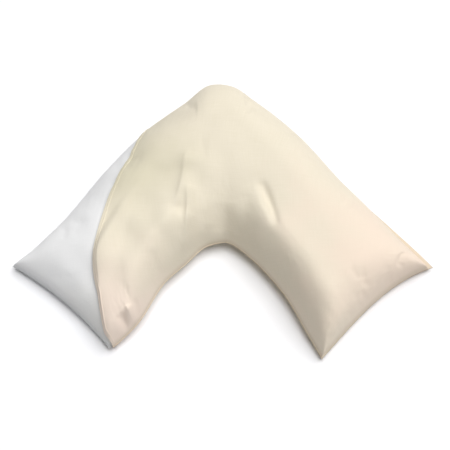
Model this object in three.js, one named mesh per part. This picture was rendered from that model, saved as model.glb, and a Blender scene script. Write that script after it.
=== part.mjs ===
// A V shaped pillow lying on its back in a pillowcase that leaves the pillow's left tip bare.
// Millimetres, +Z up, the elbow towards +Y.
// A station is a place along the V, from 0 at the left end to the last section at the right end.
// Across runs from 0 at the inner seam to 1 at the outer seam.
import * as THREE from "three";

// Cross sections of the filled pillow, seen from above: where its inner and its outer seam lie.
const sections = [
  { inner: [-286, -377], outer: [-550, -150] },
  { inner: [-250, -347], outer: [-494, -107] },
  { inner: [-209, -303], outer: [-423, -33] },
  { inner: [-152, -205], outer: [-328, 102] },
  { inner: [-94, -148], outer: [-220, 231] },
  { inner: [-47, -102], outer: [-104, 323] },
  { inner: [-11, -89], outer: [-38, 381] },
  { inner: [14, -87], outer: [24, 379] },
  { inner: [53, -112], outer: [87, 335] },
  { inner: [107, -165], outer: [212, 219] },
  { inner: [166, -242], outer: [322, 79] },
  { inner: [216, -333], outer: [442, -52] },
  { inner: [253, -397], outer: [546, -152] },
];
const lastStation = sections.length - 1;
const elbowStation = 6.5;
const stationLength = 88;

// How the filling swells between the seams.
const armCrown = 112;
const elbowCrownExtra = 14;
const elbowCrownReach = 3.2;
const innerRounding = { reach: 95, turn: 1.9, power: 0.75 };
const outerRounding = { reach: 175, turn: 2.2, power: 0.65 };
const leftRounding = { reach: 300, turn: 1.2, power: 0.38 };
const rightRounding = { reach: 92, turn: 1.8, power: 0.5 };
const cornerRidge = 4;
const flange = 2;
const undersideDrop = 26;
const undersideTuck = 1.5;
const floorRounding = 10;

// How high the plane of the seams lies: low at the four tips, half way up the arms and the elbow.
const tipSeamHeight = 13;
const armSeamHeight = 38;
const seamRiseStart = -8;
const seamRiseLength = 190;

// The end seams are drawn in between their corners, the right one most of all near its outer corner.
const leftBow = { depth: 15, skew: 0 };
const rightBow = { depth: 24, skew: 0.45 };
const bowReach = 260;

// The pillow stays short of the case's closed right end, most of all at the two corners.
const rightSlack = 0.07;
const rightCornerSlack = 0.2;

// Beside its right outer corner, the case runs on past the pillow's outer seam as an empty strip.
const strip = { width: 11, from: 10.2, to: 11.7 };

// The cloth of the case, the room between it and the pillow, and the seam between its two panels,
// where the cloth is pressed thinner.
const clothThickness = 1.6;
const pressedThickness = 0.9;
const hemThickness = 3;
const hemWidth = 8;
const caseEase = 4;
const seamGap = 0.5;
const pillowSeamThickness = 1;
const pillowFloor = 3;

// The slanted mouth of the case: the station where it crosses the pillow, by how far across it is.
const mouth = [
  { across: 0, station: 0.3 },
  { across: 0.07, station: 0.27 },
  { across: 0.13, station: 0.45 },
  { across: 0.2, station: 0.76 },
  { across: 0.3, station: 1.17 },
  { across: 0.39, station: 1.43 },
  { across: 0.47, station: 1.7 },
  { across: 0.56, station: 2.09 },
  { across: 0.65, station: 2.6 },
  { across: 0.75, station: 3.14 },
  { across: 0.85, station: 3.62 },
  { across: 1, station: 4.12 },
];

// The lower half of the mouth gapes: its cloth stands off the pillow in a low roll.
// The roll is narrow near the inner seam and wide towards the middle of the arm.
const gape = {
  narrow: { height: 12, crest: 8 },
  wide: { height: 19, crest: 13 },
  widening: [0.28, 0.4],
  from: [0, 0.1],
  to: [0.5, 0.6],
  length: 75,
};

// Troughs (depth above 0) and ridges (below 0) of the upper side, each along a straight line.
const folds = [
  { from: [-101, 91], to: [-127, -46], width: 16, depth: 6 },
  { from: [-92, -10], to: [-99, -120], width: 17, depth: 7 },
  { from: [-72, 20], to: [-72, -70], width: 20, depth: -3 },
  { from: [97, 31], to: [146, -86], width: 16, depth: 6 },
  { from: [75, 10], to: [112, -90], width: 20, depth: -4 },
  { from: [-51, 152], to: [-46, 88], width: 18, depth: 3 },
  { from: [-11, -24], to: [-8, -80], width: 24, depth: 5 },
  { from: [70, -22], to: [52, -95], width: 24, depth: 4 },
  { from: [-248, -306], to: [-232, -322], width: 21, depth: 6 },
  { from: [-160, 40], to: [-205, -60], width: 40, depth: 5 },
  { from: [-235, -60], to: [-215, -190], width: 42, depth: 5 },
  { from: [-180, -130], to: [-150, -190], width: 30, depth: -4 },
];

// How finely each piece is divided, along the V and across it.
const frontSteps = { along: 60, across: 28 };
const backSteps = { along: 48, across: 22 };
const pillowSteps = { along: 52, across: 24 };

const seamCurve = (side) => {
  const points = sections.map((section) => new THREE.Vector3(...section[side], 0));
  return new THREE.CatmullRomCurve3(points, false, "centripetal");
};
const innerSeam = seamCurve("inner");
const outerSeam = seamCurve("outer");
const mouthCurve = new THREE.CatmullRomCurve3(
  mouth.map((row) => new THREE.Vector3(row.across, row.station, 0)),
  false,
  "centripetal",
);

// Crowds the steps of a row towards both of its ends.
const crowd = (share, amount) => share - (amount * Math.sin(2 * Math.PI * share)) / (2 * Math.PI);

const unitClamp = (value) => Math.min(Math.max(value, 0), 1);

// The station of the mouth at a place across, found on the mouth's curve by halving.
function mouthStation(across) {
  let low = 0;
  let high = 1;
  for (let step = 0; step < 24; step += 1) {
    const middle = (low + high) / 2;
    if (mouthCurve.getPoint(middle).x < across) {
      low = middle;
    } else {
      high = middle;
    }
  }
  return mouthCurve.getPoint(low).y;
}

// One end of the V: its two corners, the direction into the pillow and the bow of its seam.
function endSeam(section, bow) {
  const corner = new THREE.Vector2(section.inner[0], section.inner[1]);
  const along = new THREE.Vector2(section.outer[0], section.outer[1]).sub(corner).normalize();
  const inward = new THREE.Vector2(along.y, -along.x);
  const middle = new THREE.Vector2(0, 0);
  if (middle.sub(corner).dot(inward) < 0) {
    inward.negate();
  }
  return { corner, inward, bow };
}
const leftEnd = endSeam(sections[0], leftBow);
const rightEnd = endSeam(sections[lastStation], rightBow);

const depthInside = (end, point) =>
  (point.x - end.corner.x) * end.inward.x + (point.y - end.corner.y) * end.inward.y;

// Rises from 0 at the flange of a seam to 1 at its reach, or at the widest distance there is.
function rounded(distance, { reach, turn, power }, widest = reach) {
  const share = unitClamp((distance - flange) / Math.min(reach, widest));
  return Math.max((1 - (1 - share) ** turn) ** power, 0.001);
}

const stripWidth = (station) => strip.width * THREE.MathUtils.smoothstep(station, strip.from, strip.to);

// The last station of the pillow itself inside the closed end of the case.
const pillowEnd = (across) => lastStation - rightSlack - rightCornerSlack * (2 * across - 1) ** 4;

// The share of the full seam height that one end leaves at a depth inside it.
const seamShare = (depth) => 1 - (1 - unitClamp((depth - seamRiseStart) / seamRiseLength)) ** 2;

// A point of the plane of the seams, and its depth inside each end before the end was bowed.
function seamPoint(layer, station, across) {
  const inner = innerSeam.getPoint(station / lastStation);
  const outer = outerSeam.getPoint(station / lastStation);
  const outward = new THREE.Vector3(outer.x - inner.x, outer.y - inner.y, 0).normalize();
  inner.addScaledVector(outward, -layer.grow);
  outer.addScaledVector(outward, layer.grow - (layer.fillsStrip ? 0 : stripWidth(station)));
  const width = inner.distanceTo(outer);
  const point = inner.lerp(outer, across);
  const leftDepth = depthInside(leftEnd, point);
  const rightDepth = depthInside(rightEnd, point);
  const rounding = 4 * across * (1 - across);
  for (const [end, depth] of [[leftEnd, leftDepth], [rightEnd, rightDepth]]) {
    const bow = end.bow.depth * rounding * (1 + end.bow.skew * (2 * across - 1));
    const shift = (bow - layer.grow) * unitClamp(1 - depth / bowReach) ** 2;
    point.x += end.inward.x * shift;
    point.y += end.inward.y * shift;
  }
  const share = seamShare(depthInside(leftEnd, point)) * seamShare(depthInside(rightEnd, point));
  point.z = tipSeamHeight + (armSeamHeight - tipSeamHeight) * share;
  return { point, leftDepth, rightDepth, width };
}

// The depth of all troughs and ridges together at a place seen from above.
function foldDepth(layer, point) {
  let total = 0;
  for (const fold of folds) {
    const start = new THREE.Vector2(...fold.from);
    const line = new THREE.Vector2(...fold.to).sub(start);
    const offset = new THREE.Vector2(point.x, point.y).sub(start);
    const share = unitClamp(offset.dot(line) / line.lengthSq());
    const distance = offset.addScaledVector(line, -share).length();
    const depth = fold.depth * (fold.depth > 0 ? layer.troughShare : layer.ridgeShare);
    total += depth * Math.exp(-((distance / fold.width) ** 2));
  }
  return total;
}

// How far the gaping cloth stands off, by the distance from the mouth.
function gapeHeight(fromMouth, across) {
  const { smoothstep } = THREE.MathUtils;
  const atPlace = smoothstep(across, ...gape.from) * (1 - smoothstep(across, ...gape.to));
  const wideShare = smoothstep(across, ...gape.widening);
  const crest = gape.narrow.crest + (gape.wide.crest - gape.narrow.crest) * wideShare;
  const height = gape.narrow.height + (gape.wide.height - gape.narrow.height) * wideShare;
  const rise = 0.15 + 0.85 * smoothstep(fromMouth, 0, crest);
  const fall = 1 - smoothstep(fromMouth, crest, gape.length);
  return height * atPlace * rise * fall;
}

// Lays the underside flat on its floor with a soft turn.
function restOn(floor, height) {
  const above = height - floor;
  if (above > floorRounding) {
    return height;
  }
  if (above < -floorRounding) {
    return floor;
  }
  return floor + (above + floorRounding) ** 2 / (4 * floorRounding);
}

// A point of one surface of one layer, on the upper side (1) or the underside (-1).
function surfacePoint(layer, side, station, across) {
  const { point, leftDepth, rightDepth, width } = seamPoint(layer, station, across);
  const endDepth = seamPoint(layer, layer.endAt(across), across).rightDepth;
  const empty = layer.fillsStrip ? stripWidth(station) : 0;
  const sides = [
    rounded(across * width, innerRounding, width / 2),
    rounded((1 - across) * width - empty, outerRounding, width / 2),
    rounded(leftDepth, leftRounding),
    rounded(rightDepth - endDepth, rightRounding),
  ];
  const together = sides.reduce((sum, share) => sum + share ** -cornerRidge, 1 - sides.length);
  const swell = together ** (-1 / cornerRidge);
  const seam = point.z;
  if (side > 0) {
    const crown = armCrown + elbowCrownExtra * Math.exp(-(((station - elbowStation) / elbowCrownReach) ** 2));
    const fromMouth = (station - mouthStation(across)) * stationLength;
    const standing = layer.gapes ? gapeHeight(fromMouth, across) : 0;
    const rise = crown + layer.grow - layer.halfGap + standing - foldDepth(layer, point);
    point.z = seam + layer.halfGap + rise * swell;
  } else {
    const depth = seam + undersideDrop + layer.grow;
    const fall = depth * swell ** undersideTuck;
    point.z = restOn(layer.floorAt(station, across), seam - layer.halfGap - fall);
  }
  return point;
}

// The layers from the inside out.
const pillowLayer = {
  grow: 0,
  halfGap: pillowSeamThickness / 2,
  endAt: pillowEnd,
  troughShare: 1.4,
  ridgeShare: 0.6,
  floorAt: (station, across) =>
    pillowFloor * THREE.MathUtils.smoothstep(station - mouthStation(across), -0.7, -0.3),
};
const caseLayer = {
  halfGap: seamGap / 2,
  endAt: () => lastStation,
  troughShare: 1,
  ridgeShare: 1,
  gapes: true,
  fillsStrip: true,
};
const caseInside = { ...caseLayer, grow: caseEase, floorAt: () => clothThickness };
const caseOutside = {
  ...caseLayer,
  grow: caseEase + clothThickness,
  halfGap: seamGap / 2 + pressedThickness,
  floorAt: () => 0,
};

// A grid of points: rows along the V from its start to its end station, each row across the V.
function surfaceGrid(layer, side, steps, startAt) {
  const rows = [];
  for (let i = 0; i <= steps.along; i += 1) {
    const row = [];
    for (let j = 0; j <= steps.across; j += 1) {
      const across = crowd(j / steps.across, 0.9);
      const start = startAt(across);
      const station = start + (layer.endAt(across) - start) * crowd(i / steps.along, 0.65);
      row.push(surfacePoint(layer, side, station, across));
    }
    rows.push(row);
  }
  return rows;
}

// A closed solid between an upper and a lower grid, with a rim all round.
function solidBetween(upper, lower) {
  const rowCount = upper.length;
  const rowLength = upper[0].length;
  const lowerStart = rowCount * rowLength;
  const positions = [...upper.flat(), ...lower.flat()].flatMap((point) => point.toArray());
  const indices = [];
  const face = (a, b, c, d) => indices.push(a, b, c, a, c, d);
  for (let i = 0; i < rowCount - 1; i += 1) {
    for (let j = 0; j < rowLength - 1; j += 1) {
      const near = i * rowLength + j;
      const far = near + rowLength;
      face(near, far, far + 1, near + 1);
      face(lowerStart + near, lowerStart + near + 1, lowerStart + far + 1, lowerStart + far);
    }
  }
  const rim = [];
  for (let i = 0; i < rowCount - 1; i += 1) {
    rim.push(i * rowLength);
  }
  for (let j = 0; j < rowLength - 1; j += 1) {
    rim.push((rowCount - 1) * rowLength + j);
  }
  for (let i = rowCount - 1; i > 0; i -= 1) {
    rim.push(i * rowLength + rowLength - 1);
  }
  for (let j = rowLength - 1; j > 0; j -= 1) {
    rim.push(j);
  }
  rim.forEach((here, index) => {
    const next = rim[(index + 1) % rim.length];
    face(here, lowerStart + here, lowerStart + next, next);
  });
  const geometry = new THREE.BufferGeometry();
  geometry.setAttribute("position", new THREE.Float32BufferAttribute(positions, 3));
  geometry.setIndex(indices);
  geometry.computeVertexNormals();
  return geometry;
}

// Thickens the upper panel's cloth along the mouth into its hem.
function withHem(grid) {
  const extra = hemThickness - clothThickness;
  return grid.map((row) =>
    row.map((point, j) => {
      const fromMouth = point.distanceTo(grid[0][j]);
      const share = 1 - THREE.MathUtils.smoothstep(fromMouth, hemWidth, hemWidth + 4);
      return point.clone().setZ(point.z + extra * share);
    }),
  );
}

const leftTip = () => 0;

function pillowGeometry() {
  return solidBetween(
    surfaceGrid(pillowLayer, 1, pillowSteps, leftTip),
    surfaceGrid(pillowLayer, -1, pillowSteps, leftTip),
  );
}

function caseFrontGeometry() {
  return solidBetween(
    withHem(surfaceGrid(caseOutside, 1, frontSteps, mouthStation)),
    surfaceGrid(caseInside, 1, frontSteps, mouthStation),
  );
}

function caseBackGeometry() {
  return solidBetween(
    surfaceGrid(caseInside, -1, backSteps, mouthStation),
    surfaceGrid(caseOutside, -1, backSteps, mouthStation),
  );
}

function piece(name, geometry, color, roughness) {
  const material = new THREE.MeshStandardMaterial({ color, roughness, metalness: 0 });
  const mesh = new THREE.Mesh(geometry, material);
  mesh.name = name;
  return mesh;
}

const vPillow = new THREE.Group();
vPillow.add(piece("pillow", pillowGeometry(), 0xe9ecec, 0.9));
vPillow.add(piece("case_front", caseFrontGeometry(), 0xefe4cf, 0.85));
vPillow.add(piece("case_back", caseBackGeometry(), 0xefe4cf, 0.85));

// Sets the origin on the floor, under the middle of the outline.
const outline = new THREE.Box3().setFromObject(vPillow);
const middle = outline.getCenter(new THREE.Vector3());
for (const mesh of vPillow.children) {
  mesh.geometry.translate(-middle.x, -middle.y, -outline.min.z);
}

export default vPillow;
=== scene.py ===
import math

import bpy
import numpy as np
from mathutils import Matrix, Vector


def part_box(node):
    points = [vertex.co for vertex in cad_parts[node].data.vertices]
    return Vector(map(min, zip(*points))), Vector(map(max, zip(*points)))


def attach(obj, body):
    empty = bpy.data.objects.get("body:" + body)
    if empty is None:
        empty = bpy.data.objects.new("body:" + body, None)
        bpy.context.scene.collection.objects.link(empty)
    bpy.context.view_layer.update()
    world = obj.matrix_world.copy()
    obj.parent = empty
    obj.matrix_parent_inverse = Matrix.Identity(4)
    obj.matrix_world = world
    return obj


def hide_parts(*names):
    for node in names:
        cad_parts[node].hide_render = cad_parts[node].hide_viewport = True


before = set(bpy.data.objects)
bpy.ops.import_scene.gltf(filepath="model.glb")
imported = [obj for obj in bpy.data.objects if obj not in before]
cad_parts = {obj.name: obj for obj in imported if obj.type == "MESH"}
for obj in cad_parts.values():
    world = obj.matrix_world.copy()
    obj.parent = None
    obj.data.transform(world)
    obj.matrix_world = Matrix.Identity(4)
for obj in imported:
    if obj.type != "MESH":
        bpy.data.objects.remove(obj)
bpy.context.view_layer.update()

form = {
    "innerSeam": [
        (-286, -377), (-250, -347), (-209, -303), (-152, -205), (-94, -148), (-47, -102), (-11, -89),
        (14, -87), (53, -112), (107, -165), (166, -242), (216, -333), (253, -397),
    ],
    "outerSeam": [
        (-550, -150), (-494, -107), (-423, -33), (-328, 102), (-220, 231), (-104, 323), (-38, 381),
        (24, 379), (87, 335), (212, 219), (322, 79), (442, -52), (546, -152),
    ],
    "armCrown": 112,  # height of the filling's top over the seams, on the arms
    "elbowCrownExtra": 14,
    "elbowStation": 6.5,
    "elbowCrownReach": 3.2,
    # How far in from each seam the filling keeps rising, how it turns flat there, and how it starts:
    # a lower last value starts more steeply.
    "innerRounding": (95, 1.9, 0.75),
    "crookRounding": (102, 2.0, 0.78),  # the inner side at the elbow is rounder than on the arms
    "crookReach": 1.7,
    "outerRounding": (175, 2.2, 0.65),
    "leftRounding": (300, 1.2, 0.38),
    "rightRounding": (92, 1.8, 0.5),
    "cornerRidge": 4,  # higher makes the ridges that run in from the corners sharper
    "undersideDrop": 26,
    "undersideTuck": 1.5,
    "floorRounding": 10,
    "tipSeamHeight": 13,
    "armSeamHeight": 38,
    "seamRiseStart": -8,
    "seamRiseLength": 190,
    "leftBow": (15, 0),  # how far an end seam is drawn in, and how much more of it near its outer corner
    "rightBow": (24, 0.45),
    "bowReach": 260,
    "flange": 2.0,  # the flat strip of turned cloth outside each seam
    "earWidth": 11,  # the case's empty strip at its right outer corner
    "earFrom": (10.2, 11.7),  # the stations between which it opens
    "endGap": (0.07, 0.2),  # in stations, from the pillow to the case's right end, and what its corners add
    "stepDown": (-0.7, -0.3),  # in stations from the mouth, where the pillow leaves the case for the floor
}
lastStation = len(form["innerSeam"]) - 1

mouth = {
    "across": [0, 0.07, 0.13, 0.2, 0.3, 0.39, 0.47, 0.56, 0.65, 0.75, 0.85, 1],
    "station": [0.3, 0.27, 0.45, 0.76, 1.17, 1.43, 1.7, 2.09, 2.6, 3.14, 3.62, 4.12],
    "hemThickness": 3.0,
    "hemWidth": 8,
    "hemStep": 1,  # how far to either side of its edge the hem's thickness fades
    # How far the lower half stands off the pillow and where it does most, at the inner seam and further out.
    "gapeHeight": (12, 19),
    "gapeCrest": (8, 13),
    "gapeLip": 0.15,  # the share of that height at the very edge
    "gapeWidening": (0.28, 0.4),  # the places across where it grows, and then where it begins and ends
    "gapeFrom": (0.0, 0.1),
    "gapeTo": (0.5, 0.6),
    "gapeLength": 75,
    "hug": 0.45,  # how much closer the case lies to the pillow at the mouth's outer end
    "hugLength": 1.2,  # in stations from the mouth
    "hugAcross": (0.72, 0.94),
}


def smoothStep(value, low, high):
    share = np.clip((value - low) / (high - low), 0, 1)
    return share * share * (3 - 2 * share)


def crowd(share, amount):  # crowds the steps of a row towards both of its ends
    return share - amount * np.sin(2 * np.pi * share) / (2 * np.pi)


def splinePoint(points, place):  # a centripetal spline through the points, as the CAD part's seams are
    points = np.asarray(points, float)
    place = np.asarray(place, float)
    index = np.clip(np.floor(place).astype(int), 0, len(points) - 2)
    step = (place - index)[..., None]
    padded = np.vstack([2 * points[0] - points[1], points, 2 * points[-1] - points[-2]])
    a, b, c, d = (padded[index + offset] for offset in range(4))
    ab, bc, cd = (np.sum((q - p) ** 2, -1)[..., None] ** 0.25 for p, q in ((a, b), (b, c), (c, d)))
    startSlope = ((b - a) / ab - (c - a) / (ab + bc) + (c - b) / bc) * bc
    endSlope = ((c - b) / bc - (d - b) / (bc + cd) + (d - c) / cd) * bc
    square = (-3 * b + 3 * c - 2 * startSlope - endSlope) * step ** 2
    cube = (2 * b - 2 * c + startSlope + endSlope) * step ** 3
    return b + startSlope * step + square + cube


mouthPoints = np.column_stack([mouth["across"], mouth["station"]])
mouthLine = splinePoint(mouthPoints, np.linspace(0, len(mouthPoints) - 1, 1101))


def mouthStation(across):
    return np.interp(across, mouthLine[:, 0], mouthLine[:, 1])


def endSeam(index, bow):
    corner = np.array(form["innerSeam"][index], float)
    along = np.array(form["outerSeam"][index], float) - corner
    along /= np.linalg.norm(along)
    inward = np.array([along[1], -along[0]])
    if np.dot(-corner, inward) < 0:
        inward = -inward
    return {"corner": corner, "inward": inward, "bow": bow}


leftEnd = endSeam(0, form["leftBow"])
rightEnd = endSeam(-1, form["rightBow"])


def depthInside(end, plan):
    return (plan - end["corner"]) @ end["inward"]


def rounded(distance, rounding, widest=1000):  # rises from 0 just inside a seam to 1 at its reach
    reach, turn, power = rounding
    share = np.clip((distance - form["flange"]) / np.minimum(reach, widest), 0, 1)
    return np.maximum((1 - (1 - share) ** turn) ** power, 0.001)


def seamShare(depth):
    return 1 - (1 - np.clip((depth - form["seamRiseStart"]) / form["seamRiseLength"], 0, 1)) ** 2


def earRoom(station):
    return form["earWidth"] * smoothStep(station, *form["earFrom"])


def growAt(layer, station, across):  # how far a layer lies outside the pillow, less at the mouth's outer end
    nearMouth = 1 - smoothStep(station - mouthStation(across), 0, mouth["hugLength"])
    hug = mouth["hug"] * nearMouth * smoothStep(across, *mouth["hugAcross"])
    return layer["grow"] * (1 - hug)


def seamPlane(layer, station, across):  # the plan, seam height, end depths and width at each place
    inner = splinePoint(form["innerSeam"], station)
    outer = splinePoint(form["outerSeam"], station)
    outward = outer - inner
    outward /= np.linalg.norm(outward, axis=-1)[..., None]
    room = earRoom(station) if layer["filled"] else 0
    grow = growAt(layer, station, across)
    inner = inner - outward * grow[..., None]
    outer = outer + outward * (grow - room)[..., None]
    width = np.linalg.norm(outer - inner, axis=-1)
    plan = inner + (outer - inner) * across[..., None]
    depths = [depthInside(end, plan) for end in (leftEnd, rightEnd)]
    arch = 4 * across * (1 - across)
    for end, depth in zip((leftEnd, rightEnd), depths):
        drawn = end["bow"][0] * arch * (1 + end["bow"][1] * (2 * across - 1))
        shift = (drawn - grow) * np.clip(1 - depth / form["bowReach"], 0, 1) ** 2
        plan = plan + end["inward"] * shift[..., None]
    share = seamShare(depthInside(leftEnd, plan)) * seamShare(depthInside(rightEnd, plan))
    height = form["tipSeamHeight"] + (form["armSeamHeight"] - form["tipSeamHeight"]) * share
    return plan, height, depths, width


def pillowEnd(across):
    gap, more = form["endGap"]
    return lastStation - gap - more * (2 * across - 1) ** 4


# The layers from the inside out, as in the CAD part: how far each lies outside the pillow, half the gap that
# it leaves between the upper side and the underside at the seam, and how high its underside rests.
clothThickness = 1.6
pillowLayer = {"filled": True, "grow": 0, "halfGap": 0.5, "floor": 3.0}
caseInside = {"filled": False, "grow": 4.0, "halfGap": 0.25, "floor": clothThickness}
caseMiddle = {"filled": False, "grow": 4.8, "halfGap": 0.25, "floor": clothThickness / 2}
caseOutside = {"filled": False, "grow": 5.6, "halfGap": 1.15, "floor": 0.0}


def swellAt(layer, station, across):  # from 0 at the seams to 1 where the filling is full
    plan, height, depths, width = seamPlane(layer, station, across)
    endDepth = seamPlane(layer, pillowEnd(across), across)[2][1] if layer["filled"] else 0
    ear = 0 if layer["filled"] else earRoom(station)
    atCrook = np.exp(-((station - form["elbowStation"]) / form["crookReach"]) ** 2)
    armSide = rounded(across * width, form["innerRounding"], width / 2)
    crookSide = rounded(across * width, form["crookRounding"], width / 2)
    sides = (
        armSide + (crookSide - armSide) * atCrook,
        rounded((1 - across) * width - ear, form["outerRounding"], width / 2),
        rounded(depths[0], form["leftRounding"]),
        rounded(depths[1] - endDepth, form["rightRounding"]),
    )
    ridge = form["cornerRidge"]
    return plan, height, (sum(side ** -ridge for side in sides) - 3) ** (-1 / ridge)


def restOn(floor, height):
    rounding = form["floorRounding"]
    above = height - floor
    turned = floor + (above + rounding) ** 2 / (4 * rounding)
    return np.where(above > rounding, height, np.where(above < -rounding, floor, turned))


def floorAt(layer, station, across):  # the pillow's bare end lies on the floor, the rest of it on the case
    onCase = smoothStep(station - mouthStation(across), *form["stepDown"]) if layer["filled"] else 1
    return layer["floor"] * onCase


def plainSurface(layer, side, station, across):  # a layer's upper side (1) or underside (-1), unfolded
    plan, height, swell = swellAt(layer, station, across)
    grow = growAt(layer, station, across)
    if side > 0:
        bump = np.exp(-((station - form["elbowStation"]) / form["elbowCrownReach"]) ** 2)
        crown = form["armCrown"] + form["elbowCrownExtra"] * bump + grow - layer["halfGap"]
        z = height + layer["halfGap"] + crown * swell
    else:
        drop = height + form["undersideDrop"] + grow
        fallen = height - layer["halfGap"] - drop * swell ** form["undersideTuck"]
        z = restOn(floorAt(layer, station, across), fallen)
    return np.concatenate([plan, z[..., None]], -1), swell


def cubicSample(field, row, column):  # reads a grid of values between its points, smoothly
    rowCount, columnCount = field.shape[:2]
    rowStart = np.floor(row).astype(int)
    columnStart = np.floor(column).astype(int)

    def weights(step):
        return (
            -0.5 * step + step ** 2 - 0.5 * step ** 3,
            1 - 2.5 * step ** 2 + 1.5 * step ** 3,
            0.5 * step + 2 * step ** 2 - 1.5 * step ** 3,
            -0.5 * step ** 2 + 0.5 * step ** 3,
        )

    total = 0
    for i, rowWeight in enumerate(weights(row - rowStart)):
        for j, columnWeight in enumerate(weights(column - columnStart)):
            rowIndex = np.clip(rowStart + i - 1, 0, rowCount - 1)
            columnIndex = np.clip(columnStart + j - 1, 0, columnCount - 1)
            total = total + field[rowIndex, columnIndex] * (rowWeight * columnWeight)[..., None]
    return total


def gridQuads(grid):  # the quads of an open grid, which face up where its rows run along +X and across +Y
    rowCount, rowLength = grid.shape[:2]
    corner = (np.arange(rowCount - 1)[:, None] * rowLength + np.arange(rowLength - 1)).ravel()
    return np.column_stack([corner, corner + rowLength, corner + rowLength + 1, corner + 1])


def rimLoop(rowCount, rowLength):  # the border of a grid, once round
    first = [i * rowLength for i in range(rowCount - 1)]
    last = [(rowCount - 1) * rowLength + j for j in range(rowLength - 1)]
    back = [i * rowLength + rowLength - 1 for i in range(rowCount - 1, 0, -1)]
    home = list(range(rowLength - 1, 0, -1))
    return np.array(first + last + back + home)


# Makes a closed body between two grids, with a rim all round. The cut is where each place lies on the flat
# cloth, which the weave follows, and atSeam is 1 along a seam, where the material paints a darker shade.
def closedPiece(name, upper, lower, cut=None, atSeam=None):
    rowCount, rowLength = upper.shape[:2]
    quads = gridQuads(upper)
    offset = rowCount * rowLength
    rim = rimLoop(rowCount, rowLength)
    nextRim = np.roll(rim, -1)
    faces = np.vstack([
        quads,
        quads[:, ::-1] + offset,
        np.column_stack([rim, rim + offset, nextRim + offset, nextRim]),
    ])
    points = np.vstack([upper.reshape(-1, 3), lower.reshape(-1, 3)]) + drawingShift
    mesh = bpy.data.meshes.new(name)
    mesh.from_pydata((points * 0.001).tolist(), [], faces.tolist())
    if cut is not None:
        flat = np.vstack([cut.reshape(-1, 2), cut.reshape(-1, 2)]) * 0.001
        cutMap = mesh.uv_layers.new(name="cut")
        cutMap.data.foreach_set("uv", flat[faces.ravel()].ravel())
    if atSeam is not None:
        seam = mesh.attributes.new("seam", "FLOAT", "POINT")
        seam.data.foreach_set("value", np.tile(atSeam.ravel(), 2))
    mesh.shade_smooth()
    mesh.update()
    piece = bpy.data.objects.new(name, mesh)
    bpy.context.scene.collection.objects.link(piece)
    return piece


# The CAD part was drawn on the same plan and then centred, so the pillow's left corner and the top of the
# case's outer seam give the shift.
drawnLeft = min(point[0] for point in form["outerSeam"])
drawingShift = np.array([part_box("pillow")[0][0] * 1000 - drawnLeft, 0.0, 0.0])
topSeam = plainSurface(caseOutside, 1, np.linspace(5, 8, 600), np.ones(600))[0]
drawingShift[1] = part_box("case_front")[1][1] * 1000 - topSeam[:, 1].max()
print("drawing shift in mm", drawingShift)

crowding = {"across": 0.9, "along": 0.7}  # how far the rows of each piece draw together at its edges

puffing = {
    "rows": 190,
    "columns": 62,
    "crowding": 0.45,
    "arch": (360, 110),  # the width and rise that the columns are spread over
    "unevenStart": 0.25,  # small random heights, without which the cloth would swell too evenly
    "restMargin": 0.5,  # cloth that lies this close to the floor stays there
    "frames": 20,
    "quality": 5,
    "mass": 0.3,
    "stretch": 15,
    "shear": 5,
    "bending": 0.35,
    "pressure": 4.0,
    "seamExcess": -0.04,  # extra cloth along the seams, which gathers into puckers
    "openExcess": -0.012,
    "gathered": (0.45, 0.9),  # the swell at which the gathers begin to fade and end
    "calm": (0.3, 0.8),  # the swell at which the cloth begins to move and moves in full
    "cap": 6.5,  # the furthest that a point may move, in mm
    "seed": 11,
}


def evenColumns(count):  # places across, evenly spaced along the swollen upper side
    width, rise = puffing["arch"]
    place = crowd(np.linspace(0, 1, 2001), crowding["across"])
    height = rise * np.sqrt(np.maximum(4 * place * (1 - place), 0))
    length = np.concatenate([[0], np.cumsum(np.hypot(np.diff(place) * width, np.diff(height)))])
    return np.interp(np.linspace(0, length[-1], count), length, place)


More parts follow.
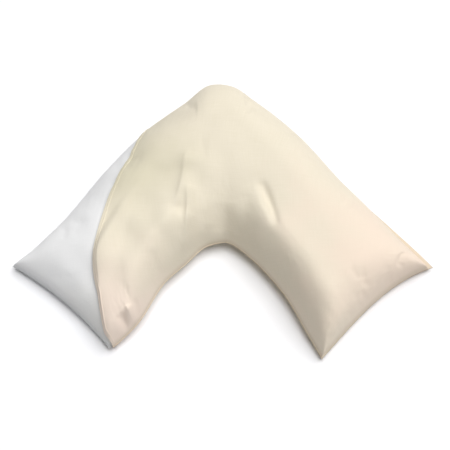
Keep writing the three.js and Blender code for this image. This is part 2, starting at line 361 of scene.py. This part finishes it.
def simulatedPuff():  # inflates the case's skin as cloth and returns how far each place moved
    rows, columns = puffing["rows"], puffing["columns"]
    stations = lastStation * crowd(np.linspace(0, 1, rows), puffing["crowding"])
    acrosses = evenColumns(columns)
    station, across = np.meshgrid(stations, acrosses, indexing="ij")
    upper, swell = plainSurface(caseMiddle, 1, station, across)
    lower, lowerSwell = plainSurface(caseMiddle, -1, station, across)
    noise = np.random.default_rng(puffing["seed"])
    upper[1:-1, 1:-1, 2] += noise.normal(0, puffing["unevenStart"], (rows - 2, columns - 2))
    start = closedPiece("puffSkin", upper, lower)
    pinned = start.vertex_groups.new(name="pinned")
    gathered = start.vertex_groups.new(name="gathered")
    count = rows * columns
    atSeam = np.zeros((rows, columns), bool)
    atSeam[[0, -1], :] = True
    atSeam[:, [0, -1]] = True
    resting = lower[..., 2] < caseMiddle["floor"] + puffing["restMargin"]
    for index in np.flatnonzero(atSeam.ravel()):
        pinned.add([int(index), int(index) + count], 1.0, "REPLACE")
    for index in np.flatnonzero(resting.ravel()):
        pinned.add([int(index) + count], 1.0, "REPLACE")
    nearSeam = 1 - smoothStep(swell, *puffing["gathered"])
    for index, weight in enumerate(nearSeam.ravel()):
        gathered.add([index, index + count], float(weight), "REPLACE")
    cloth = start.modifiers.new("puff", "CLOTH")
    settings = cloth.settings
    settings.quality = puffing["quality"]
    settings.mass = puffing["mass"]
    settings.tension_stiffness = settings.compression_stiffness = puffing["stretch"]
    settings.shear_stiffness = puffing["shear"]
    settings.bending_stiffness = puffing["bending"]
    settings.use_pressure = True
    settings.uniform_pressure_force = puffing["pressure"]
    settings.vertex_group_mass = "pinned"
    settings.pin_stiffness = 1.0
    settings.vertex_group_shrink = "gathered"
    settings.shrink_min = puffing["openExcess"]
    settings.shrink_max = puffing["seamExcess"]
    settings.effector_weights.gravity = 0
    scene = bpy.context.scene
    for number in range(1, puffing["frames"] + 1):
        scene.frame_set(number)
    evaluated = start.evaluated_get(bpy.context.evaluated_depsgraph_get())
    moved = np.empty(count * 2 * 3)
    evaluated.data.vertices.foreach_get("co", moved)
    moved = moved.reshape(-1, 3) * 1000 - drawingShift
    scene.frame_set(1)
    bpy.data.objects.remove(start)
    shift = moved - np.vstack([upper.reshape(-1, 3), lower.reshape(-1, 3)])
    length = np.linalg.norm(shift, axis=1)[:, None]
    shift *= puffing["cap"] * np.tanh(length / puffing["cap"]) / np.maximum(length, 1e-6)
    shift = shift.reshape(2, rows, columns, 3)
    shift *= smoothStep(np.stack([swell, lowerSwell]), *puffing["calm"])[..., None]
    print("puff", "mean move", round(float(length.mean()), 2), "most", round(float(length.max()), 2))
    return {"stations": stations, "acrosses": acrosses, 1: shift[0], -1: shift[1]}


puff = simulatedPuff()
print("cloth simulation", "skipped" if puff is None else "done")


def puffAt(side, station, across):
    if puff is None:
        return np.zeros(station.shape + (3,))
    row = np.interp(station, puff["stations"], np.arange(len(puff["stations"])))
    column = np.interp(across, puff["acrosses"], np.arange(len(puff["acrosses"])))
    return cubicSample(puff[side], row, column)


# Folds of the upper side: ridges above 0 and troughs below 0, each with its own flank widths.
# A sharp one drops away at once on its left, and bend moves its middle to the right.
folds = [
    {"from": (-96, 102), "to": (-121, -44), "height": 13.5, "left": 18, "right": 32, "bend": 5,
     "sharp": True},
    {"from": (-90, 10), "to": (-99, -140), "height": 14.0, "left": 9, "right": 24, "bend": 6,
     "sharp": True},
    {"from": (-98, 70), "to": (-92, -70), "height": -9.0, "left": 50, "right": 54},
    {"from": (-108, -34), "to": (-113, -116), "height": -3.5, "left": 20, "right": 14},
    {"from": (103, 22), "to": (139, -100), "height": -9.0, "left": 14, "right": 9, "bend": 3},
    {"from": (80, 20), "to": (116, -104), "height": 4.0, "left": 30, "right": 12},
    {"from": (-51, 152), "to": (-47, 82), "height": -2.0, "left": 12, "right": 12},
    {"from": (-11, -30), "to": (-8, -90), "height": -3.0, "left": 20, "right": 20},
    {"from": (72, -12), "to": (50, -104), "height": -4.0, "left": 20, "right": 22},
    {"from": (30, -24), "to": (22, -92), "height": 3.0, "left": 18, "right": 18},
    {"from": (-252, -314), "to": (-222, -362), "height": -20.0, "left": 13, "right": 9},
    {"from": (-240, -298), "to": (-202, -356), "height": 20.0, "left": 8, "right": 13, "sharp": True},
    {"from": (-218, -276), "to": (-206, -322), "height": -9.0, "left": 8, "right": 8},
    {"from": (-160, 70), "to": (-214, -70), "height": -4.5, "left": 32, "right": 38},
    {"from": (-240, -60), "to": (-214, -190), "height": -4.0, "left": 34, "right": 34},
    {"from": (-180, -120), "to": (-150, -190), "height": 3.5, "left": 26, "right": 26},
]
foldEnds = {"reach": 12, "height": 0.15}  # how far a fold fades past its ends, and its share of height there
underCase = {"sag": 1.15, "trough": 1.25, "ridge": 0.5}  # the pillow's shares, which keep it under the case
crookSag = {"centre": (16, -20), "reach": (92, 66), "depth": 25}
innerFullness = {"height": 6, "centre": 62, "reach": 40}  # the filling stands full close to the inner seam
unevenness = {
    "corner": (-640, -500),
    "cells": (32, 24),
    "cell": 46,
    "spread": 0.5,
    "leftHeight": 4.4,
    "rightHeight": 1.2,
    "leftToRight": (-120, 160),
    "seed": 5,
}
puckers = {"pitch": 17, "height": 1.5, "spread": 0.7, "reach": 26, "start": 5, "count": 400, "seed": 23}
fullFolds, fullPuckers = 2.2, 2.5  # how quickly folds and puckers reach their height as the filling swells


def foldHeight(plan, filled):
    fromSag = (plan - np.array(crookSag["centre"], float)) / np.array(crookSag["reach"], float)
    total = -crookSag["depth"] * (underCase["sag"] if filled else 1) * np.exp(-np.sum(fromSag ** 2, -1))
    for fold in folds:
        start = np.array(fold["from"], float)
        line = np.array(fold["to"], float) - start
        length = np.linalg.norm(line)
        along = line / length
        share = np.clip((plan - start) @ along / length, 0, 1)
        beyond = (plan - start) @ along - share * length
        arch = 4 * share * (1 - share)
        aside = (plan - start) @ np.array([-along[1], along[0]]) - fold.get("bend", 0) * arch
        near = np.abs(aside) / np.where(aside < 0, fold["left"], fold["right"])
        fade = np.where((aside < 0) & fold.get("sharp", False), near, near ** 2)
        rise = foldEnds["height"] + (1 - foldEnds["height"]) * np.sqrt(arch)
        height = fold["height"]
        if filled:
            height *= underCase["trough" if height < 0 else "ridge"]
        total = total + height * np.exp(-fade - (beyond / foldEnds["reach"]) ** 2) * rise
    return total


def unevenHeight(plan):
    random = np.random.default_rng(unevenness["seed"])
    noise = random.normal(0, unevenness["spread"], (*unevenness["cells"], 1))
    place = (plan - np.array(unevenness["corner"])) / unevenness["cell"]
    height = cubicSample(noise, place[..., 0], place[..., 1])[..., 0]
    share = smoothStep(plan[..., 0], *unevenness["leftToRight"])
    return height * (unevenness["leftHeight"] * (1 - share) + unevenness["rightHeight"] * share)


def puckerHeight(plan, across, depths, width):  # small gathers that run in from the seams
    random = np.random.default_rng(puckers["seed"])
    gathers = random.normal(0, puckers["spread"], (puckers["count"], 1, 1))
    x, y = plan[..., 0], plan[..., 1]
    # For each seam: the distance from it, a place along it in its own stretch of gathers, and their share.
    seams = (
        (across * width, x - y + 1700, 1.0),
        ((1 - across) * width, x + 3020, 0.5),
        (depths[0], x - y + 3000, 0.8),
        (depths[1], x + y + 1500, 1.1),
    )
    total = 0
    for distance, along, share in seams:
        distance = np.maximum(distance - form["flange"], 0)
        place = along / puckers["pitch"]
        wave = cubicSample(gathers, place, 0 * place)[..., 0]
        fade = np.exp(-distance / puckers["reach"]) * smoothStep(distance, 0, puckers["start"])
        total = total + share * wave * fade
    return puckers["height"] * total


def mouthDistance(plan):  # how far each place lies from the line of the mouth
    across = np.linspace(0, 1, 240)
    line = seamPlane(caseOutside, mouthStation(across), across)[0]
    flat = plan.reshape(-1, 2)
    nearest = np.full(len(flat), np.inf)
    for point in line:
        nearest = np.minimum(nearest, np.hypot(flat[:, 0] - point[0], flat[:, 1] - point[1]))
    return nearest.reshape(plan.shape[:2])


def gapeAt(fromMouth, across):
    low, high = mouth["gapeFrom"], mouth["gapeTo"]
    place = smoothStep(across, *low) * (1 - smoothStep(across, *high))
    wideShare = smoothStep(across, *mouth["gapeWidening"])
    height, crest = (
        start + (end - start) * wideShare for start, end in (mouth["gapeHeight"], mouth["gapeCrest"])
    )
    rise = mouth["gapeLip"] + (1 - mouth["gapeLip"]) * smoothStep(fromMouth, 0, crest)
    fall = 1 - smoothStep(fromMouth, crest, mouth["gapeLength"])
    return height * place * rise * fall


def softSurface(layer, side, station, across):
    points, swell = plainSurface(layer, side, station, across)
    points = points + puffAt(side, station, across)
    if side < 0:
        points[..., 2] = np.maximum(points[..., 2], floorAt(layer, station, across))
    else:
        plan, _, depths, width = seamPlane(layer, station, across)
        full = np.exp(-((across * width - innerFullness["centre"]) / innerFullness["reach"]) ** 2)
        lift = foldHeight(plan, layer["filled"]) + unevenHeight(plan) + innerFullness["height"] * full
        points[..., 2] += lift * np.minimum(swell * fullFolds, 1)
        points[..., 2] += puckerHeight(plan, across, depths, width) * np.minimum(swell * fullPuckers, 1)
    return points


def flatCut(upper):  # where each place lies on the flat cloth, opened out from the middle line
    steps = np.linalg.norm(np.diff(upper, axis=1), axis=2)
    length = np.concatenate([np.zeros((len(upper), 1)), np.cumsum(steps, axis=1)], axis=1)
    middle = upper.shape[1] // 2
    outward = upper[:, -1, :2] - upper[:, 0, :2]
    outward /= np.linalg.norm(outward, axis=1)[:, None]
    return upper[:, middle, None, :2] + outward[:, None, :] * (length - length[:, middle, None])[..., None]


def pieceGrid(startAt, endAt, rows, columns):
    share, column = np.meshgrid(np.linspace(0, 1, rows), np.linspace(0, 1, columns), indexing="ij")
    across = crowd(column, crowding["across"])
    start = startAt(across)
    return start + (endAt(across) - start) * crowd(share, crowding["along"]), across


def leftTip(across):
    return 0 * across


def caseEnd(across):
    return 0 * across + lastStation


seamShadeStrip = (0.5, 7)  # in mm from the seams, where the painted seam shade begins to fade and ends


def seamShadeCloseness(layer, station, across):  # 1 along the sewn seams, 0 a little way in from them: where the shade along the seams is painted
    depths, width = seamPlane(layer, station, across)[2:]
    strip = 0 if layer["filled"] else earRoom(station)
    nearest = np.minimum.reduce([across * width, (1 - across) * width - strip, *depths])
    return 1 - smoothStep(nearest, *seamShadeStrip)


# The pillow: one closed, filled body of white cotton.
station, across = pieceGrid(leftTip, pillowEnd, rows=230, columns=84)
pillowTop = softSurface(pillowLayer, 1, station, across)
pillowUnder = softSurface(pillowLayer, -1, station, across)
pillow = closedPiece("pillowFilled", pillowTop, pillowUnder, cut=flatCut(pillowTop),
                     atSeam=seamShadeCloseness(pillowLayer, station, across))
print("pillow built", len(pillow.data.polygons), "faces")

# The upper panel of the case, with its hem and its gaping mouth.
station, across = pieceGrid(mouthStation, caseEnd, rows=320, columns=128)
frontOuter = softSurface(caseOutside, 1, station, across)
frontInner = softSurface(caseInside, 1, station, across)
fromMouth = mouthDistance(seamPlane(caseOutside, station, across)[0])
gape = gapeAt(fromMouth, across)
hemEdge = (mouth["hemWidth"] - mouth["hemStep"], mouth["hemWidth"] + mouth["hemStep"])
hem = (mouth["hemThickness"] - clothThickness) * (1 - smoothStep(fromMouth, *hemEdge))
frontOuter[..., 2] += gape + hem
frontInner[..., 2] += gape
caseFront = closedPiece("caseFront", frontOuter, frontInner, cut=flatCut(frontOuter),
                        atSeam=seamShadeCloseness(caseOutside, station, across))
print("case front built", len(caseFront.data.polygons), "faces")

# The under panel of the case lies flat on the floor.
station, across = pieceGrid(mouthStation, caseEnd, rows=200, columns=84)
backInner = softSurface(caseInside, -1, station, across)
backOuter = softSurface(caseOutside, -1, station, across)
caseBack = closedPiece("caseBack", backInner, backOuter, cut=flatCut(backOuter),
                       atSeam=seamShadeCloseness(caseOutside, station, across))
print("case back built", len(caseBack.data.polygons), "faces")


def linear(hexCode):  # an sRGB hex colour as linear red, green, blue and alpha
    parts = [int(hexCode[place:place + 2], 16) / 255 for place in (1, 3, 5)]
    return [part / 12.92 if part <= 0.04045 else ((part + 0.055) / 1.055) ** 2.4 for part in parts] + [1.0]


def addNode(tree, kind, links=(), **settings):  # links are (input name or index, socket that feeds it)
    node = tree.nodes.new(kind)
    for name, value in settings.items():
        if name.startswith("in_"):
            key = name[3:]
            node.inputs[int(key) if key.isdigit() else key.replace("_", " ")].default_value = value
        else:
            setattr(node, name, value)
    for key, socket in links:
        tree.links.new(socket, node.inputs[key])
    return node


# Plain woven cotton: matt, with a faint sheen, threads of uneven thickness and a soft slub.
caseCotton = {
    "name": "plainWovenCotton",
    "colour": "#E8DFCC",
    "shade": "#E3DAC5",
    "paintedLightAndShade": [  # painted light and shade on the ecru: a darker, greener painted shade on the left shoulder's flank, and pinker painted warm light towards both ends
        {"centre": (-0.26, 0.1), "reach": 0.26, "colour": "#CFC9AF", "share": 0.7},
        {"centre": (-0.24, -0.32), "reach": 0.25, "colour": "#F2DFD2", "share": 0.75},
        {"centre": (0.45, -0.2), "reach": 0.44, "colour": "#F0DBCA", "share": 0.75},
    ],
    "seamShadeColour": "#D3C3AC",  # painted shade: the cloth along the seams is drawn a little darker
    "seamShare": 0.75,
    "threadPitch": 1.5,  # real threads of 0.4 mm are too fine to show, so they are drawn coarser
    "slubLength": 60,
    "slubWidth": 3.2,
    "weaveShare": 0.35,  # the weave's part in the bump, beside the slub's
    "bump": 0.25,
    "bumpHeight": 0.00035,
    "roughness": 0.86,
    "sheen": 0.1,
}
# Down-proof cotton cambric: closer, smoother and a little glossier than the case.
pillowCotton = {
    "name": "whiteCambricCotton",
    "colour": "#EEEEEE",
    "shade": "#EAEAEA",
    # painted shade: the pillow drawn greyer near its corner, where the case's mouth shades it
    "paintedLightAndShade": [{"centre": (-0.3, -0.38), "reach": 0.2, "colour": "#DCDBD4", "share": 0.6}],
    # painted shade: the pillow's cloth along its seams is drawn a little darker
    "seamShadeColour": "#D6D8D8",
    "seamShare": 0.6,
    "threadPitch": 1.2,
    "slubLength": 40,
    "slubWidth": 2.4,
    "weaveShare": 0.35,
    "bump": 0.16,
    "bumpHeight": 0.00025,
    "roughness": 0.72,
    "sheen": 0.08,
}


def clothMaterial(cloth):
    material = bpy.data.materials.new(cloth["name"])
    material.use_nodes = True
    tree = material.node_tree
    tree.nodes.clear()
    cut = addNode(tree, "ShaderNodeUVMap", uv_map="cut")
    cutAxes = addNode(tree, "ShaderNodeSeparateXYZ", [(0, cut.outputs[0])])
    waves = []
    for axis in (0, 1):
        turns = addNode(tree, "ShaderNodeMath", [(0, cutAxes.outputs[axis])], operation="MULTIPLY",
                        in_1=math.pi / (cloth["threadPitch"] * 0.001))
        waves.append(addNode(tree, "ShaderNodeMath", [(0, turns.outputs[0])], operation="SINE"))
    weave = addNode(tree, "ShaderNodeMath", [(0, waves[0].outputs[0]), (1, waves[1].outputs[0])],
                    operation="MULTIPLY")
    slubs = []
    for stretch in ((cloth["slubLength"], cloth["slubWidth"]), (cloth["slubWidth"], cloth["slubLength"])):
        mapping = addNode(tree, "ShaderNodeMapping", [("Vector", cut.outputs[0])])
        mapping.inputs["Scale"].default_value = (1000 / stretch[0], 1000 / stretch[1], 1)
        slubs.append(addNode(tree, "ShaderNodeTexNoise", [("Vector", mapping.outputs[0])],
                             in_Scale=1.0, in_Detail=2.0, in_Roughness=0.5))
    slub = addNode(tree, "ShaderNodeMath", [(0, slubs[0].outputs[0]), (1, slubs[1].outputs[0])],
                   operation="ADD")
    threads = addNode(tree, "ShaderNodeMath", [(0, weave.outputs[0]), (2, slub.outputs[0])],
                      operation="MULTIPLY_ADD", in_1=cloth["weaveShare"])
    tone = addNode(tree, "ShaderNodeMapRange", [("Value", slub.outputs[0])],
                   in_From_Min=0.6, in_From_Max=1.4)
    threadColour = addNode(tree, "ShaderNodeMix", [("Factor", tone.outputs[0])], data_type="RGBA")
    threadColour.inputs[6].default_value = linear(cloth["shade"])
    threadColour.inputs[7].default_value = linear(cloth["colour"])
    place = addNode(tree, "ShaderNodeTexCoord")
    cloud = addNode(tree, "ShaderNodeTexNoise", [("Vector", place.outputs["Object"])],
                    in_Scale=7.0, in_Detail=3.0)
    placeAxes = addNode(tree, "ShaderNodeSeparateXYZ", [(0, place.outputs["Object"])])
    plan = addNode(tree, "ShaderNodeCombineXYZ", [("X", placeAxes.outputs[0]), ("Y", placeAxes.outputs[1])])
    colour = threadColour.outputs[2]
    # Painted light and shade: each patch mixes a darker or warmer colour in around a place on the piece.
    for paintedPatch in cloth["paintedLightAndShade"]:
        away = addNode(tree, "ShaderNodeVectorMath", [(0, plan.outputs[0])], operation="DISTANCE")
        away.inputs[1].default_value = (*paintedPatch["centre"], 0)
        ragged = addNode(tree, "ShaderNodeMath", [(0, cloud.outputs[0]), (2, away.outputs["Value"])],
                         operation="MULTIPLY_ADD", in_1=paintedPatch["reach"])
        share = addNode(tree, "ShaderNodeMapRange", [("Value", ragged.outputs[0])],
                        interpolation_type="SMOOTHSTEP", in_From_Min=1.5 * paintedPatch["reach"],
                        in_From_Max=0.5 * paintedPatch["reach"], in_To_Max=paintedPatch["share"])
        mix = addNode(tree, "ShaderNodeMix", [("Factor", share.outputs[0]), (6, colour)], data_type="RGBA")
        mix.inputs[7].default_value = linear(paintedPatch["colour"])
        colour = mix.outputs[2]
    # Painted shade along the seams, as far as the seam attribute reaches.
    seam = addNode(tree, "ShaderNodeAttribute", attribute_name="seam")
    seamShade = addNode(tree, "ShaderNodeMath", [(0, seam.outputs["Fac"])], operation="MULTIPLY",
                      in_1=cloth["seamShare"])
    mix = addNode(tree, "ShaderNodeMix", [("Factor", seamShade.outputs[0]), (6, colour)], data_type="RGBA")
    mix.inputs[7].default_value = linear(cloth["seamShadeColour"])
    bump = addNode(tree, "ShaderNodeBump", [("Height", threads.outputs[0])],
                   in_Strength=cloth["bump"], in_Distance=cloth["bumpHeight"])
    shader = addNode(tree, "ShaderNodeBsdfPrincipled",
                     [("Base Color", mix.outputs[2]), ("Normal", bump.outputs[0])],
                     in_Roughness=cloth["roughness"], in_Sheen_Weight=cloth["sheen"],
                     in_Sheen_Roughness=0.6, in_IOR=1.45)
    shader.inputs["Specular IOR Level"].default_value = 0.25
    addNode(tree, "ShaderNodeOutputMaterial", [("Surface", shader.outputs[0])])
    return material


caseMaterial = clothMaterial(caseCotton)
pillowMaterial = clothMaterial(pillowCotton)
pillow.data.materials.append(pillowMaterial)
for panel in (caseFront, caseBack):
    panel.data.materials.append(caseMaterial)
print("materials made")

# The hem's stitching: a row of short thread bars along the mouth.
hemStitch = {"fromEdge": 7.0, "pitch": 3.6, "length": 2.6, "thread": 0.55, "sunk": 0.1, "endColumns": 2}


def stitchRow(name, route, size, material):
    mesh = bpy.data.meshes.new(name + "Route")
    points = (route + drawingShift) * 0.001
    mesh.from_pydata(points.tolist(), [(i, i + 1) for i in range(len(points) - 1)], [])
    row = bpy.data.objects.new(name, mesh)
    bpy.context.scene.collection.objects.link(row)
    tree = bpy.data.node_groups.new(name + "Tree", "GeometryNodeTree")
    tree.interface.new_socket("Geometry", in_out="INPUT", socket_type="NodeSocketGeometry")
    for label in ("Pitch", "Length", "Thread"):
        tree.interface.new_socket(label, in_out="INPUT", socket_type="NodeSocketFloat")
    tree.interface.new_socket("Geometry", in_out="OUTPUT", socket_type="NodeSocketGeometry")
    given = addNode(tree, "NodeGroupInput")
    curve = addNode(tree, "GeometryNodeMeshToCurve", [("Mesh", given.outputs["Geometry"])])
    even = addNode(tree, "GeometryNodeResampleCurve",
                   [("Curve", curve.outputs[0]), ("Length", given.outputs["Pitch"])], mode="LENGTH")
    tangent = addNode(tree, "GeometryNodeInputTangent")
    turn = addNode(tree, "FunctionNodeAlignRotationToVector", [("Vector", tangent.outputs[0])], axis="Z")
    bar = addNode(tree, "GeometryNodeMeshCylinder",
                  [("Radius", given.outputs["Thread"]), ("Depth", given.outputs["Length"])], in_Vertices=6)
    placed = addNode(tree, "GeometryNodeInstanceOnPoints",
                     [("Points", even.outputs[0]), ("Instance", bar.outputs[0]),
                      ("Rotation", turn.outputs[0])])
    real = addNode(tree, "GeometryNodeRealizeInstances", [("Geometry", placed.outputs[0])])
    finished = addNode(tree, "GeometryNodeSetMaterial", [("Geometry", real.outputs[0])])
    finished.inputs["Material"].default_value = material
    addNode(tree, "NodeGroupOutput", [("Geometry", finished.outputs[0])])
    modifier = row.modifiers.new("stitches", "NODES")
    modifier.node_group = tree
    values = {"Pitch": size["pitch"], "Length": size["length"], "Thread": size["thread"]}
    for item in tree.interface.items_tree:
        if item.in_out == "INPUT" and item.name in values:
            modifier[item.identifier] = values[item.name] * 0.001
    evaluated = row.evaluated_get(bpy.context.evaluated_depsgraph_get())
    result = bpy.data.meshes.new_from_object(evaluated)
    row.modifiers.remove(modifier)
    row.data = result
    return row


# The line on a grid that keeps one distance from the mouth, looked for in the grid's first rows.
def rowAtDistance(grid, distances, wanted, rows=60):
    line = []
    for column in range(hemStitch["endColumns"], grid.shape[1] - hemStitch["endColumns"]):
        place = np.interp(wanted, distances[:rows, column], np.arange(rows))
        low = int(place)
        line.append(grid[low, column] + (grid[low + 1, column] - grid[low, column]) * (place - low))
    return np.array(line)


stitchRoute = rowAtDistance(frontOuter, fromMouth, hemStitch["fromEdge"])
stitchRoute[:, 2] += hemStitch["thread"] - hemStitch["sunk"]
hemStitches = stitchRow("hemStitches", stitchRoute, hemStitch, caseMaterial)
print("stitches made", len(hemStitches.data.polygons), "faces")

for piece, nodes, slot in (
    (pillow, ["pillow"], "pillow_cotton"),
    (caseFront, ["case_front"], "case_cotton"),
    (caseBack, ["case_back"], "case_cotton"),
    (hemStitches, [], "case_cotton"),
):
    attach(piece, "root")
    if nodes:
        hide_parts(*nodes)
print("pieces declared")

# A white studio: one very broad soft light high above, leaning to the back right, and a weak sky.
studio = {
    "sky": 0.05,
    "lightElevation": 73,
    "lightTurn": 34,  # from +X towards +Y
    "lightSpread": 58,
    "lightStrength": 3.5,
    "floorColour": "#F7F7F9",
    "floorReach": 9,
    "floorDrop": 0.0004,  # keeps the floor just clear of the case
}


def makeStage():
    mesh = bpy.data.meshes.new("floor")
    reach, level = studio["floorReach"], -studio["floorDrop"]
    corners = [(x * reach, y * reach, level) for x, y in ((-1, -1), (1, -1), (1, 1), (-1, 1))]
    mesh.from_pydata(corners, [], [(0, 1, 2, 3)])
    floor = bpy.data.objects.new("floor", mesh)
    bpy.context.scene.collection.objects.link(floor)
    material = bpy.data.materials.new("matWhitePaper")
    material.use_nodes = True
    shader = material.node_tree.nodes["Principled BSDF"]
    shader.inputs["Base Color"].default_value = linear(studio["floorColour"])
    shader.inputs["Roughness"].default_value = 1.0
    shader.inputs["Specular IOR Level"].default_value = 0.0
    mesh.materials.append(material)
    world = bpy.data.worlds.new("studioSky")
    bpy.context.scene.world = world
    world.use_nodes = True
    world.node_tree.nodes["Background"].inputs["Color"].default_value = (1, 1, 1, 1)
    world.node_tree.nodes["Background"].inputs["Strength"].default_value = studio["sky"]
    light = bpy.data.lights.new("softLight", "SUN")
    light.energy = studio["lightStrength"]
    light.angle = math.radians(studio["lightSpread"])
    lamp = bpy.data.objects.new("softLight", light)
    bpy.context.scene.collection.objects.link(lamp)
    elevation, turn = math.radians(studio["lightElevation"]), math.radians(studio["lightTurn"])
    lamp.rotation_euler = (math.pi / 2 - elevation, 0, turn + math.pi / 2)


makeStage()

# The camera looks from the open side of the V, well above it.
view = {
    "elevation": 64,
    "distance": 3.0,
    "focalPixels": 1116,
    "framePixels": 450,
    "sensorWidth": 36,
    "aim": (8, -21),
}
aim = (np.array([*view["aim"], 0]) + drawingShift) * 0.001
camera = bpy.data.objects.new("camera", bpy.data.cameras.new("camera"))
bpy.context.scene.collection.objects.link(camera)
camera.data.sensor_width = view["sensorWidth"]
camera.data.lens = view["sensorWidth"] * view["focalPixels"] / view["framePixels"]
lean = math.radians(view["elevation"])
camera.location = (
    aim[0],
    aim[1] - view["distance"] * math.cos(lean),
    view["distance"] * math.sin(lean),
)
camera.rotation_euler = (math.pi / 2 - lean, 0, 0)
bpy.context.scene.camera = camera
bpy.context.scene.view_settings.view_transform = "Standard"
print("stage, light and camera set")
